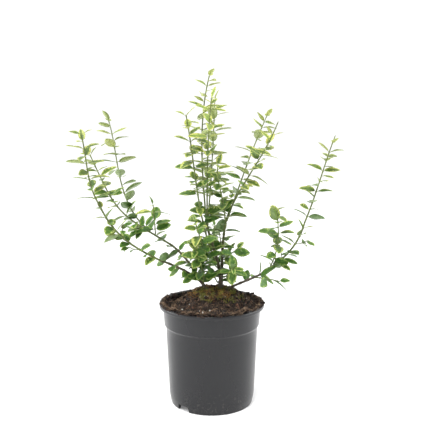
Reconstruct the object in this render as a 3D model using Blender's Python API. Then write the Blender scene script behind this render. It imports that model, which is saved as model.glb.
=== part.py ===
# A young variegated wintercreeper in a black nursery pot, as closed solids.
# Metres, +Z up. The origin is the middle of the pot's flat underside, +X is the
# plant's right and -Y its front.

import math
import random
from bisect import bisect_right

import bmesh
import bpy
from mathutils import Matrix, Vector
from mathutils.bvhtree import BVHTree

MM = 0.001
GAP = 0.3 * MM  # kept between two solids that touch on the real plant

# Pot
POT_HEIGHT = 127.5 * MM
LIP_RADIUS = 65.0 * MM
LIP_HEIGHT = 4.6 * MM
LIP_ROUND = 1.0 * MM
COLLAR_TOP_RADIUS = 60.6 * MM
COLLAR_FOOT_RADIUS = 59.0 * MM
COLLAR_FOOT = 101.0 * MM
BODY_TOP_RADIUS = 57.0 * MM
BODY_TOP = 99.0 * MM
BODY_FOOT_RADIUS = 53.0 * MM
BODY_FOOT = 12.0 * MM
FOOT_RADIUS = 50.7 * MM
WALL = 1.3 * MM
POT_SIDES = 48
FLOOR = 8.0 * MM  # how far the drain channel under the pot is raised
FOOT_RING = 4.2 * MM  # width of the outer ring that the pot stands on
PAN_RADIUS = 27.0 * MM  # the middle of the floor, which also stands on the ground
NOTCH_WIDTH = 18.0 * MM
NOTCH_HEIGHT = 7.5 * MM
NOTCH_SLANT = 1.5 * MM
NOTCH_ANGLES = (227.0, 47.0)  # degrees from +X

# Soil
SOIL_EDGE = 123.6 * MM
SOIL_TILT = 1.6 * MM  # the soil stands higher at the front than at the back
MOUND_TOP = 141.0 * MM
MOUND_X, MOUND_Y = 4.0 * MM, 7.0 * MM
MOUND_FLAT = 19.0 * MM
MOUND_REACH = 54.0 * MM
SOIL_RINGS = (0.90, 0.72, 0.54, 0.38, 0.20)
SOIL_LUMPS = 0.7 * MM

# Leaves
STALK = 0.5 * MM  # half the width of a leaf where it leaves its twig
ROOT = 0.15 * MM  # how far from its twig's middle a leaf begins
KEEL = 0.55 * MM  # how far the midrib stands below the blade
LEAF_SLIMNESS = 0.57  # width over length
BLADE = ((0.38, 1.0), (0.72, 0.78))  # share of the length, share of the half width
ROOM = 0.5 * MM  # kept between a leaf and everything but its own twig
STALK_FREE = 2.6 * MM  # the first stretch of a leaf, which may lie near its own twig
LEAF_SPREAD = (54.0, 78.0)  # degrees away from the twig
LEAF_JITTER = 14.0
LEAF_ROLL = 24.0
LEAF_CURL = (0.05, 0.2)
LEVELLING = 0.6  # leaves turn towards the level
TURNS = (0, 22, -22, 45, -45)
LIFTS = (0, 16, -16)
SHRINKS = (1.0, 0.8)
TWIG_LENGTH = 15.0 * MM
TWIG_RADIUS = 0.55 * MM

GREEN = (0.16, 0.30, 0.035)
LIME = (0.38, 0.50, 0.07)
BARK = (0.16, 0.15, 0.06)

# Bare stems, with lengths in millimetres: each stands on the soil at its foot, and
# runs to its tip on one smooth curve, leaving by one vector and arriving by another.
LIMBS = {
    "main_stem": dict(
        foot=(9, 8), leave=(7, 0, 27), arrive=(-3, 0, 29), tip=(-7, 8, 231), thick=4.2, thin=2.8),
    "right_stem": dict(
        foot=(12, 14), leave=(1, 0, 30), arrive=(6, -1, 29), tip=(18, 11, 230), thick=3.8, thin=2.6),
    "left_low_stem": dict(
        foot=(-5, 4), leave=(-11, 0, 19), arrive=(-19, -5, 8), tip=(-63, -7, 182), thick=3.2, thin=2.7),
    "left_high_stem": dict(
        foot=(-8, 12), leave=(-14, -1, 22), arrive=(-22, 1, 15), tip=(-52, 9, 199), thick=3.2, thin=2.6),
    "right_low_stem": dict(
        foot=(18, 5), leave=(10, -4, 9), arrive=(18, 1, 12), tip=(68, 6, 166), thick=3.2, thin=2.6),
}

# Leafy shoots. Each grows on the stem named by on: past its tip where at is 1, or
# beside it at that share of its length. The pairs of leaves stand crosswise, the
# first ones at turn degrees from the plant's right.
SHOOTS = {
    "left_arch_leaves": dict(
        on="left_low_stem", at=1, leave=(-36, -10, 21), arrive=(-15, -12, 39), tip=(-132, -35, 256),
        thick=2.6, thin=2.2, pairs=7, leaf=17, bare=7, turn=90, twigs=2, seed=11),
    "left_arch_tip": dict(
        on="left_arch_leaves", at=1, leave=(-13, -9, 27), arrive=(-5, -10, 28), tip=(-146, -62, 340),
        thick=2.1, thin=1.3, pairs=9, leaf=17, turn=0, twigs=0, seed=12),
    "left_middle_leaves": dict(
        on="left_high_stem", at=1, leave=(-66, 2, 40), arrive=(-32, 1, 73), tip=(-148, 12, 309),
        thick=2.5, thin=1.4, pairs=10, leaf=19, turn=90, twigs=1, seed=13),
    "left_upper_leaves": dict(
        on="left_middle_leaves", at=0.19, leave=(-47, 15, 33), arrive=(-20, 25, 45), tip=(-136, 80, 355),
        thick=2.0, thin=1.3, pairs=8, leaf=22, turn=0, bare=11, twigs=0, seed=14),
    "left_spur_leaves": dict(
        on="left_middle_leaves", at=0.14, leave=(0, -8, 13), arrive=(0, -8, 13), tip=(-70, -16, 252),
        thick=1.6, thin=1.2, pairs=4, leaf=19, turn=0, twigs=0, seed=15),
    "front_left_leaves": dict(
        on="main_stem", at=0.40, leave=(-23, -9, 55), arrive=(-10, -20, 58), tip=(-29, -46, 360),
        thick=2.3, thin=1.4, pairs=11, leaf=18, turn=0, twigs=1, seed=16),
    "tallest_leaves": dict(
        on="main_stem", at=1, leave=(-5, 7, 58), arrive=(14, 13, 56), tip=(-3, 42, 404),
        thick=2.2, thin=1.4, pairs=12, leaf=19, turn=0, twigs=1, seed=17),
    "front_top_leaves": dict(
        on="main_stem", at=0.97, leave=(0, -18, 53), arrive=(5, -34, 44), tip=(0, -80, 381),
        thick=2.0, thin=1.3, pairs=9, leaf=17, turn=90, twigs=0, seed=18),
    "back_top_leaves": dict(
        on="main_stem", at=0.95, leave=(5, 22, 51), arrive=(2, 31, 46), tip=(4, 95, 373),
        thick=2.0, thin=1.3, pairs=10, leaf=19, turn=0, twigs=0, seed=19),
    "centre_short_leaves": dict(
        on="right_stem", at=0.95, leave=(0, -19, 34), arrive=(2, -26, 28), tip=(7, -50, 304),
        thick=1.8, thin=1.3, pairs=6, leaf=18, turn=0, twigs=0, seed=20),
    "right_back_leaves": dict(
        on="right_stem", at=0.97, leave=(17, 14, 46), arrive=(20, 22, 40), tip=(72, 70, 357),
        thick=2.0, thin=1.3, pairs=8, leaf=19, turn=0, bare=6, twigs=1, seed=21),
    "right_front_leaves": dict(
        on="right_stem", at=1, leave=(16, -8, 44), arrive=(14, -14, 42), tip=(77, -25, 351),
        thick=2.1, thin=1.3, pairs=8, leaf=18, turn=90, bare=18, twigs=1, seed=22),
    "right_arch_leaves": dict(
        on="right_low_stem", at=1, leave=(24, 4, 16), arrive=(8, 4, 28), tip=(115, 17, 224),
        thick=2.6, thin=2.2, pairs=6, leaf=19, bare=7, turn=90, twigs=2, seed=23),
    "right_arch_tip": dict(
        on="right_arch_leaves", at=1, leave=(15, 6, 35), arrive=(14, 7, 35), tip=(153, 36, 330),
        thick=2.1, thin=1.3, pairs=8, leaf=17, turn=0, bare=10, twigs=0, seed=24),
    "right_spur_leaves": dict(
        on="right_arch_leaves", at=0.08, leave=(12, -9, 29), arrive=(-3, -13, 28), tip=(77, -28, 248),
        thick=1.7, thin=1.2, pairs=5, leaf=19, turn=0, twigs=0, seed=25),
    "low_left_leaves": dict(
        on="main_stem", at=0.10, leave=(-12, -3, 20), arrive=(-5, -18, 22), tip=(-19, -42, 236),
        thick=1.8, thin=1.3, pairs=8, leaf=18, turn=0, twigs=0, seed=26),
    "low_front_leaves": dict(
        on="left_low_stem", at=0.16, leave=(2, -10, 18), arrive=(-2, -14, 16), tip=(-20, -34, 205),
        thick=1.8, thin=1.3, pairs=7, leaf=18, turn=0, twigs=0, seed=27),
    "low_back_leaves": dict(
        on="right_stem", at=0.12, leave=(-6, 31, 15), arrive=(1, 30, 18), tip=(3, 108, 203),
        thick=1.9, thin=1.3, pairs=8, leaf=19, turn=0, twigs=1, seed=28),
    "low_right_leaves": dict(
        on="right_stem", at=0.16, leave=(12, -4, 9), arrive=(2, -16, 8), tip=(25, -32, 179),
        thick=1.6, thin=1.2, pairs=6, leaf=18, turn=0, twigs=0, seed=29),
    "right_twig_leaves": dict(
        on="right_stem", at=0.42, leave=(6, -5, 6), arrive=(5, -5, 5), tip=(31, -6, 196),
        thick=1.5, thin=1.1, pairs=3, leaf=18, turn=90, twigs=0, seed=30),
    "middle_twig_leaves": dict(
        on="right_stem", at=0.58, leave=(-2, 6, 7), arrive=(-2, 6, 7), tip=(8, 36, 216),
        thick=1.5, thin=1.1, pairs=3, leaf=18, turn=0, twigs=0, seed=31),
    "right_low_leaves": dict(
        on="right_low_stem", at=0.70, leave=(6, -9, 2), arrive=(10, -3, -2), tip=(82, -16, 158),
        thick=1.5, thin=1.1, pairs=4, leaf=18, turn=90, twigs=0, seed=32),
}


def millimetres(values):
    return Vector(values) * MM


def clear_scene():
    for obj in list(bpy.data.objects):
        bpy.data.objects.remove(obj, do_unlink=True)


def paint(name, color, roughness):
    material = bpy.data.materials.new(name)
    material.use_nodes = True
    shader = material.node_tree.nodes["Principled BSDF"]
    shader.inputs["Base Color"].default_value = (*color, 1.0)
    shader.inputs["Roughness"].default_value = roughness
    shader.inputs["Metallic"].default_value = 0.0
    return material


def add_object(name, points, faces, material=None):
    mesh = bpy.data.meshes.new(name)
    mesh.from_pydata([tuple(point) for point in points], [], faces)
    mesh.validate()
    obj = bpy.data.objects.new(name, mesh)
    bpy.context.scene.collection.objects.link(obj)
    if material:
        mesh.materials.append(material)
    return obj


def shade(obj, angle):
    obj.data.shade_smooth()
    obj.data.set_sharp_from_angle(angle=math.radians(angle))


def skin(rings, point=None):
    """Closed triangles round a row of rings, ending in a last cap or in one point."""
    sides = len(rings[0])
    points = [corner for ring in rings for corner in ring]
    faces = [tuple(reversed(range(sides)))]
    for low in range(0, len(points) - sides, sides):
        for k in range(sides):
            after = (k + 1) % sides
            faces.append((low + k, low + after, low + sides + after))
            faces.append((low + k, low + sides + after, low + sides + k))
    last = len(points) - sides
    if point is None:
        faces.append(tuple(range(last, last + sides)))
    else:
        points.append(point)
        for k in range(sides):
            faces.append((last + k, last + (k + 1) % sides, last + sides))
    return points, faces


class Stem:
    """A tapering stem on one smooth curve. Its radius is thick at the start."""

    steps = 96

    def __init__(self, start, leave, arrive, tip, thick, thin, flare=0.0):
        self.controls = (start, start + leave, tip - arrive, tip)
        self.thick, self.thin, self.flare = thick, thin, flare
        points = [self.on_curve(k / self.steps) for k in range(self.steps + 1)]
        self.reached = [0.0]
        for low, high in zip(points, points[1:]):
            self.reached.append(self.reached[-1] + (high - low).length)
        self.length = self.reached[-1]

    def on_curve(self, t):
        a, b, c, d = self.controls
        return a * (1 - t) ** 3 + b * 3 * t * (1 - t) ** 2 + c * 3 * t * t * (1 - t) + d * t**3

    def at(self, distance):
        """The point this far along the stem and the way the stem runs there."""
        step = min(max(bisect_right(self.reached, distance) - 1, 0), self.steps - 1)
        span = self.reached[step + 1] - self.reached[step]
        t = (step + (distance - self.reached[step]) / span) / self.steps
        a, b, c, d = self.controls
        ahead = (b - a) * (1 - t) ** 2 + (c - b) * 2 * t * (1 - t) + (d - c) * t * t
        return self.on_curve(t), ahead.normalized()

    def radius(self, distance):
        share = distance / self.length
        swell = 1 + self.flare * math.exp(-distance / (2 * self.thick))
        return (self.thick + (self.thin - self.thick) * share) * swell

    def tube(self, distances, sides, flat_foot=False):
        rings = []
        side = Vector((1, 0, 0))
        for distance in distances:
            point, ahead = self.at(distance)
            if flat_foot and not rings:
                ahead = Vector((0, 0, 1))
            side = (side - ahead * side.dot(ahead)).normalized()
            back = ahead.cross(side)
            radius = self.radius(distance)
            angles = [math.tau * k / sides for k in range(sides)]
            rings.append([point + (side * math.cos(a) + back * math.sin(a)) * radius for a in angles])
        return skin(rings)


def spun(name, profile, material):
    """A turned solid: the profile runs from the axis, round the section, back to it."""
    mesh = bmesh.new()
    corners = [mesh.verts.new((radius, 0, height)) for radius, height in profile]
    edges = [mesh.edges.new(pair) for pair in zip(corners, corners[1:])]
    bmesh.ops.spin(
        mesh, geom=corners + edges, cent=(0, 0, 0), axis=(0, 0, 1),
        angle=math.tau, steps=POT_SIDES, use_merge=True,
    )
    bmesh.ops.remove_doubles(mesh, verts=mesh.verts, dist=0.001 * MM)
    bmesh.ops.recalc_face_normals(mesh, faces=mesh.faces)
    data = bpy.data.meshes.new(name)
    mesh.to_mesh(data)
    mesh.free()
    data.materials.append(material)
    obj = bpy.data.objects.new(name, data)
    bpy.context.scene.collection.objects.link(obj)
    return obj


def inner_wall():
    """The inside of the pot from the rim down to the axis, as radius and height."""
    return [
        (COLLAR_TOP_RADIUS - WALL, POT_HEIGHT - LIP_ROUND),
        (COLLAR_FOOT_RADIUS - WALL, COLLAR_FOOT + WALL),
        (BODY_TOP_RADIUS - WALL, BODY_TOP),
        (BODY_FOOT_RADIUS - WALL, BODY_FOOT + WALL),
        (FOOT_RADIUS - WALL, FLOOR + WALL),
        (PAN_RADIUS, FLOOR + WALL),
        (PAN_RADIUS - WALL, WALL),
        (0, WALL),
    ]


def make_pot():
    outside = [
        (0, 0),
        (PAN_RADIUS, 0),
        (PAN_RADIUS + WALL, FLOOR),
        (FOOT_RADIUS - FOOT_RING, FLOOR),
        (FOOT_RADIUS - FOOT_RING + WALL, 0),
        (FOOT_RADIUS - LIP_ROUND, 0),
        (FOOT_RADIUS, LIP_ROUND),
        (BODY_FOOT_RADIUS, BODY_FOOT),
        (BODY_TOP_RADIUS, BODY_TOP),
        (COLLAR_FOOT_RADIUS, COLLAR_FOOT),
        (COLLAR_TOP_RADIUS, POT_HEIGHT - LIP_HEIGHT),
        (LIP_RADIUS - LIP_ROUND, POT_HEIGHT - LIP_HEIGHT),
        (LIP_RADIUS, POT_HEIGHT - LIP_HEIGHT + LIP_ROUND),
        (LIP_RADIUS, POT_HEIGHT - LIP_ROUND),
        (LIP_RADIUS - LIP_ROUND, POT_HEIGHT),
        (COLLAR_TOP_RADIUS, POT_HEIGHT),
    ]
    pot = spun("pot", outside + inner_wall(), paint("pot_plastic", (0.025, 0.026, 0.028), 0.45))
    for k, angle in enumerate(NOTCH_ANGLES):
        cut = pot.modifiers.new(f"notch_{k}", "BOOLEAN")
        cut.operation = "DIFFERENCE"
        cut.object = notch_cutter(f"notch_cutter_{k}", math.radians(angle))
    shade(pot, 25)
    return pot


def notch_cutter(name, angle):
    """A wedge through the foot of the wall, a little narrower at its top."""
    near, far = FOOT_RADIUS - 2 * FOOT_RING, LIP_RADIUS
    rings = []
    for end in (-1, 1):
        height = end * NOTCH_HEIGHT
        half = NOTCH_WIDTH / 2 - end * NOTCH_SLANT
        rings.append([Vector((near, -half, height)), Vector((far, -half, height)),
                      Vector((far, half, height)), Vector((near, half, height))])
    cutter = add_object(name, *skin(rings))
    cutter.rotation_euler.z = angle
    cutter.hide_render = True
    cutter.display_type = "WIRE"
    return cutter


def wall_radius(height):
    """The radius of the pot's inside at this height in the collar."""
    (high_radius, high), (low_radius, low) = inner_wall()[:2]
    return low_radius + (high_radius - low_radius) * (height - low) / (high - low)


def soil_height(x, y):
    edge = SOIL_EDGE - SOIL_TILT * y / LIP_RADIUS
    away = math.hypot(x - MOUND_X, y - MOUND_Y)
    share = min(max((away - MOUND_FLAT) / (MOUND_REACH - MOUND_FLAT), 0), 1)
    fall = share * share * (3 - 2 * share)
    return MOUND_TOP + (edge - MOUND_TOP) * fall


def make_soil():
    draw = random.Random(5)
    angles = [math.tau * k / POT_SIDES for k in range(POT_SIDES)]
    walls = [(radius - GAP, height + GAP) for radius, height in reversed(inner_wall()[1:-1])]
    rings = []
    for radius, height in walls:
        rings.append([Vector((math.cos(a) * radius, math.sin(a) * radius, height)) for a in angles])
    rim = []
    for a in angles:
        height = SOIL_EDGE - SOIL_TILT * math.sin(a)
        radius = wall_radius(height) - GAP
        rim.append(Vector((math.cos(a) * radius, math.sin(a) * radius, height)))
    rings.append(rim)
    for share in SOIL_RINGS:
        ring = []
        for edge in rim:
            x, y = edge.x * share, edge.y * share
            height = soil_height(x, y)
            if height < MOUND_TOP - SOIL_LUMPS:
                height += draw.uniform(-SOIL_LUMPS, SOIL_LUMPS)
            ring.append(Vector((x, y, height)))
        rings.append(ring)
    points, faces = skin(rings, Vector((0, 0, MOUND_TOP)))
    soil = add_object("soil", points, faces, paint("soil_peat", (0.045, 0.028, 0.018), 0.95))
    shade(soil, 40)
    return soil


def make_limbs():
    stems = {}
    for name, size in LIMBS.items():
        foot = Vector((size["foot"][0] * MM, size["foot"][1] * MM, MOUND_TOP + GAP))
        stem = Stem(foot, millimetres(size["leave"]), millimetres(size["arrive"]), millimetres(size["tip"]),
                    size["thick"] * MM / 2, size["thin"] * MM / 2, flare=0.45)
        count = round(stem.length / (7 * MM))
        start = 2.5 * MM
        distances = [0] + [start + (stem.length - start) * k / count for k in range(count + 1)]
        obj = add_object(name, *stem.tube(distances, 8, flat_foot=True), paint(name + "_bark", BARK, 0.8))
        shade(obj, 50)
        stems[name] = stem
    return stems


def make_shoot_stem(size, parent):
    """A shoot's own stem, 0.3 mm clear of the stem that it grows on."""
    leave = millimetres(size["leave"])
    thick, thin = size["thick"] * MM / 2, size["thin"] * MM / 2
    point, ahead = parent.at(parent.length * size["at"])
    radius = parent.radius(parent.length * size["at"])
    if size["at"] == 1:
        lean = ahead.cross(leave.normalized()).length
        start = point + ahead * (GAP + max(radius, thick) * lean)
    else:
        outward = (leave - ahead * leave.dot(ahead)).normalized()
        start = point + outward * (radius + thick + GAP)
    return Stem(start, leave, millimetres(size["arrive"]), millimetres(size["tip"]), thick, thin)


def leaf_frame(stem, distance, turn, spread, roll):
    """Where a leaf starts, the way it points and the way its upper face looks."""
    point, ahead = stem.at(distance)
    right = Vector((1, 0, 0))
    right = (right - ahead * right.dot(ahead)).normalized()
    outward = right * math.cos(turn) + ahead.cross(right) * math.sin(turn)
    axis = ahead * math.cos(spread) + outward * math.sin(spread)
    axis.z *= LEVELLING
    axis.normalize()
    face = Vector((0, 0, 0.8)) + ahead * 0.35
    face = (face - axis * face.dot(axis)).normalized()
    return point, axis, Matrix.Rotation(roll, 3, axis) @ face


def leaf_solid(frame, length, curl, room=0.0, begin=0.0):
    """A folded blade with a narrow foot, as three-sided rings that end in a point."""
    point, axis, face = frame
    across = face.cross(axis)
    rows = [(begin or ROOT, STALK)]
    rows += [(share * length, LEAF_SLIMNESS * length / 2 * part) for share, part in BLADE]
    rings = []
    for distance, half in rows:
        middle = point + axis * distance - face * (curl * distance**2 / length)
        keel = KEEL * (1 - 0.5 * distance / length) + room
        rings.append([
            middle + across * (half + room) + face * room,
            middle - across * (half + room) + face * room,
            middle - face * keel,
        ])
    end = length + room
    return skin(rings, point + axis * end - face * (curl * end**2 / length))


def plan_shoot(stem, size):
    """The stems and leaves of one shoot, before any is moved or left out."""
    draw = random.Random(size["seed"])
    first = 8 * MM
    last = stem.length - size.get("bare", 1) * MM
    stems = [(stem, 3, size["pairs"] + 2)]
    leaves = []
    twig_steps = {1 + 2 * k for k in range(size["twigs"])}
    for step in range(size["pairs"]):
        share = (step / (size["pairs"] - 1)) ** 0.85
        distance = first + (last - first) * share
        young = max(0, (share - 0.7) / 0.3)
        length = size["leaf"] * MM * (1 - 0.45 * young * young)
        turn = math.radians(size["turn"] + 90 * step)
        for half_turn in (0, math.pi):
            way = turn + half_turn + math.radians(draw.uniform(-LEAF_JITTER, LEAF_JITTER))
            spread = math.radians(draw.uniform(*LEAF_SPREAD) - 28 * young)
            roll = math.radians(draw.uniform(-LEAF_ROLL, LEAF_ROLL))
            scale = draw.uniform(0.86, 1.12)
            curl = draw.uniform(*LEAF_CURL)
            if half_turn == 0 and step in twig_steps:
                twig = make_twig(stem, distance, way)
                stems.append((twig, 3, 3))
                for part, sideways in ((0.55, 1), (0.55, -1), (0.96, 1), (0.96, -1)):
                    leaves.append((twig, twig.length * part, way + sideways * math.pi / 2 * (1.5 - part),
                                   math.radians(62), roll, length * 0.62, curl))
                continue
            leaves.append((stem, distance, way, spread, roll, length * scale, curl))
    return stems, leaves


def make_twig(stem, distance, way):
    point, axis, _ = leaf_frame(stem, distance, way, math.radians(55), 0)
    rise = (axis + Vector((0, 0, 0.6))).normalized()
    return Stem(point, axis * TWIG_LENGTH / 3, rise * TWIG_LENGTH / 3,
                point + (axis + rise) * TWIG_LENGTH / 2, TWIG_RADIUS, TWIG_RADIUS * 0.8)


class Room:
    """What already stands in the crown, for finding where a leaf has room."""

    def __init__(self):
        self.taken = []

    @staticmethod
    def measured(points, faces):
        middle = sum(points, Vector()) / len(points)
        return BVHTree.FromPolygons(points, faces), middle, max((p - middle).length for p in points)

    def add(self, owner, points, faces):
        self.taken.append((owner, *self.measured(points, faces)))

    def free(self, points, faces, but_for=None):
        tree, middle, reach = self.measured(points, faces)
        for owner, other, centre, other_reach in self.taken:
            near = (centre - middle).length < reach + other_reach
            if near and owner != but_for and tree.overlap(other):
                return False
        return True


def place_leaf(room, owner, leaf):
    """The leaf as it grows, or turned, lifted or made smaller until it has room."""
    stem, distance, way, spread, roll, length, curl = leaf
    for shrink in SHRINKS:
        for turn in TURNS:
            for lift in LIFTS:
                turned, lifted = way + math.radians(turn), spread + math.radians(lift)
                frame = leaf_frame(stem, distance, turned, lifted, roll)
                size = length * shrink
                blade = leaf_solid(frame, size, curl, room=ROOM, begin=STALK_FREE)
                whole = leaf_solid(frame, size, curl, room=ROOM)
                if room.free(*blade) and room.free(*whole, but_for=owner):
                    room.add(owner, *blade)
                    return leaf_solid(frame, size, curl)
    return None


def fuse(name, core, others, material):
    """One solid from a stem and all that grows on it, and where it is open, if it is."""
    obj = add_object(name, *core)
    group = bpy.data.collections.new(name + "_pieces")
    for k, piece in enumerate(others):
        part = add_object(f"{name}_piece_{k}", *piece)
        group.objects.link(part)
    join = obj.modifiers.new("join", "BOOLEAN")
    join.operation = "UNION"
    join.operand_type = "COLLECTION"
    join.collection = group
    for solver in ("EXACT", "MANIFOLD"):
        join.solver = solver
        graph = bpy.context.evaluated_depsgraph_get()
        mesh = bpy.data.meshes.new_from_object(obj.evaluated_get(graph))
        open_at = drop_scraps(mesh)
        if open_at is None:
            break
    obj.modifiers.clear()
    obj.data = mesh
    for part in list(group.objects):
        bpy.data.objects.remove(part, do_unlink=True)
    bpy.data.collections.remove(group)
    mesh.materials.clear()
    mesh.materials.append(material)
    return obj, open_at


def drop_scraps(data):
    """Keeps the largest body of a mesh, and gives a point where it isn't closed, if any."""
    mesh = bmesh.new()
    mesh.from_mesh(data)
    bmesh.ops.remove_doubles(mesh, verts=mesh.verts, dist=0.0005 * MM)
    bmesh.ops.dissolve_degenerate(mesh, edges=mesh.edges, dist=0.0005 * MM)
    bmesh.ops.triangulate(mesh, faces=mesh.faces)
    bodies = []
    seen = set()
    for start in mesh.verts:
        if start in seen:
            continue
        body, waiting = [], [start]
        seen.add(start)
        while waiting:
            corner = waiting.pop()
            body.append(corner)
            for edge in corner.link_edges:
                other = edge.other_vert(corner)
                if other not in seen:
                    seen.add(other)
                    waiting.append(other)
        bodies.append(body)
    bodies.sort(key=len)
    scraps = [corner for body in bodies[:-1] for corner in body]
    bmesh.ops.delete(mesh, geom=scraps, context="VERTS")
    open_at = None
    for edge in mesh.edges:
        if not edge.is_manifold:
            open_at = edge.verts[0].co.copy()
            break
    mesh.to_mesh(data)
    mesh.free()
    return open_at


def make_shoots(limbs, solids):
    room = Room()
    for obj in solids:
        mesh = bmesh.new()
        mesh.from_mesh(obj.data)
        room.add(obj.name, [corner.co.copy() for corner in mesh.verts],
                 [[corner.index for corner in face.verts] for face in mesh.faces])
        mesh.free()
    stems = dict(limbs)
    plans = {}
    for name, size in SHOOTS.items():
        stems[name] = make_shoot_stem(size, stems[size["on"]])
        plans[name] = plan_shoot(stems[name], size)
    tubes = {}
    for name, (twigs, _) in plans.items():
        tubes[name] = []
        for stem, sides, count in twigs:
            tubes[name].append(stem.tube([stem.length * k / count for k in range(count + 1)], sides))
        for tube in tubes[name]:
            room.add(name, *tube)
    for name, (_, leaves) in plans.items():
        grown = [solid for solid in (place_leaf(room, name, leaf) for leaf in leaves) if solid]
        low = stems[name].at(0)[0].z < 0.25
        material = paint(name + "_green", GREEN if low else LIME, 0.5)
        obj, open_at = fuse(name, tubes[name][0], tubes[name][1:] + grown, material)
        while open_at:
            bpy.data.objects.remove(obj, do_unlink=True)
            grown.remove(min(grown, key=lambda leaf: (leaf[0][0] - open_at).length))
            obj, open_at = fuse(name, tubes[name][0], tubes[name][1:] + grown, material)
        print(name, len(leaves), "leaves planned,", len(grown), "grown")


def main():
    clear_scene()
    pot = make_pot()
    soil = make_soil()
    limbs = make_limbs()
    stems = [bpy.data.objects[name] for name in LIMBS]
    make_shoots(limbs, [pot, soil] + stems)


main()
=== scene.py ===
import math
import random
from bisect import bisect_right

import bmesh
import bpy
from mathutils import Matrix, Vector, noise
from mathutils.bvhtree import BVHTree


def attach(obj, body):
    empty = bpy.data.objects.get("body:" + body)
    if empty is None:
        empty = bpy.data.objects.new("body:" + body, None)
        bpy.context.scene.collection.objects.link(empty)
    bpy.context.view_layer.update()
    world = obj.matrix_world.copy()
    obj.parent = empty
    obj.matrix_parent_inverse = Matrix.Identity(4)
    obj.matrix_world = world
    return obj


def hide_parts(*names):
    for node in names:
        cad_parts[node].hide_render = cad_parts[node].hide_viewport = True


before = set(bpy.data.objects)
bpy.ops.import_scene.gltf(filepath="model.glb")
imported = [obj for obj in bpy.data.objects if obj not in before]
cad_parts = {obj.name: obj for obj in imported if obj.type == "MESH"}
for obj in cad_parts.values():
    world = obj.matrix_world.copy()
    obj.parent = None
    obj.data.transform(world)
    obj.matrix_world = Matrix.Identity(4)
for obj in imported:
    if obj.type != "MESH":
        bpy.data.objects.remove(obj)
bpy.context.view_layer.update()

# A young variegated wintercreeper in a black nursery pot, seen from its front.
# The plant, the soil and the pot are given in millimetres, and mm turns them into metres.
# The studio, the finishes and the heights at which leaves change are given in metres.
# Angles are in degrees, but bends, sways and waves are in radians.
mm = 0.001
gap = 0.3 * mm  # kept between two stems that meet

# Bare stems, with lengths in millimetres: each stands on the soil at its foot, and
# runs to its tip on one smooth curve, leaving by one vector and arriving by another.
limbs = {
    "main_stem": dict(
        foot=(9, 8), leave=(7, 0, 27), arrive=(-3, 0, 29), tip=(-7, 8, 231), thick=4.2, thin=2.8),
    "right_stem": dict(
        foot=(12, 14), leave=(1, 0, 30), arrive=(6, -1, 29), tip=(18, 11, 230), thick=3.8, thin=2.6),
    "left_low_stem": dict(
        foot=(-5, 4), leave=(-11, 0, 19), arrive=(-19, -5, 8), tip=(-63, -7, 182), thick=3.2, thin=2.7),
    "left_high_stem": dict(
        foot=(-8, 12), leave=(-14, -1, 22), arrive=(-22, 1, 15), tip=(-52, 9, 199), thick=3.2, thin=2.6),
    "right_low_stem": dict(
        foot=(18, 5), leave=(10, -4, 9), arrive=(18, 1, 12), tip=(68, 6, 166), thick=3.2, thin=2.6),
}

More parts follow.
